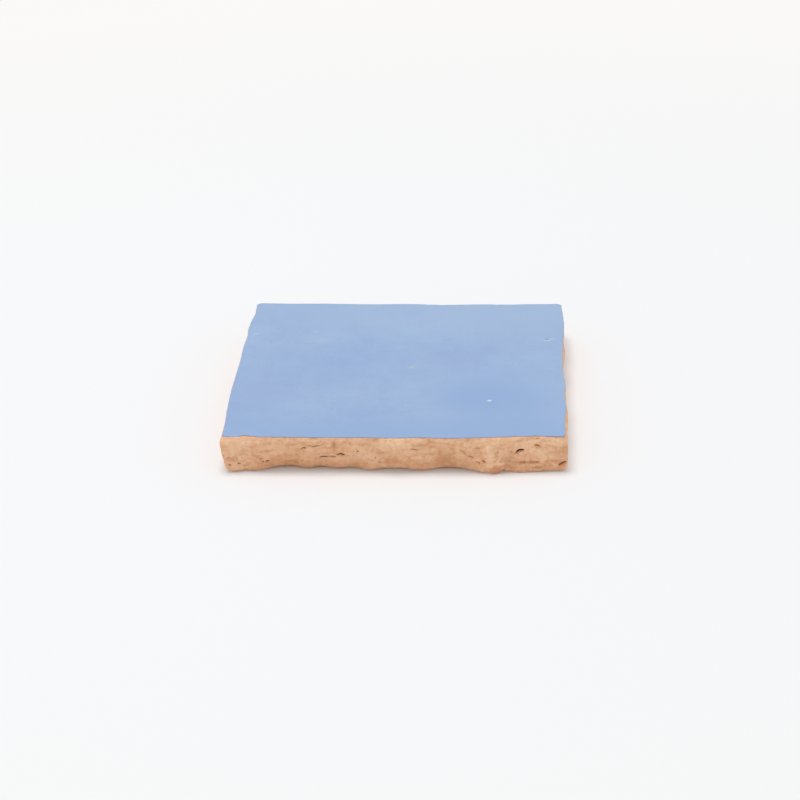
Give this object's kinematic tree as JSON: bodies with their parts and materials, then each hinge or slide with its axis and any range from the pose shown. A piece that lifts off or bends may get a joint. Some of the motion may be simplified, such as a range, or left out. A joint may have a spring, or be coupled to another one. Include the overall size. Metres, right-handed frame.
{
  "type": "zellige tile",
  "caption": "Square hand-cut glazed clay wall tile with a satin pale blue face, chiselled undercut edges and a flat back for bedding in mortar.",
  "frame": {"origin": "on the back face, under the middle of the glazed face", "axes": "+Z out of the glazed face, +X along the front side's length, -Y out of the front side"},
  "size_m": [0.1023, 0.1023, 0.0121],
  "materials": {
    "clay": "matte",
    "glaze": "satin"
  },
  "bodies": {
    "root": {"clay_body": "clay", "glaze": "glaze"}
  },
  "joints": []
}
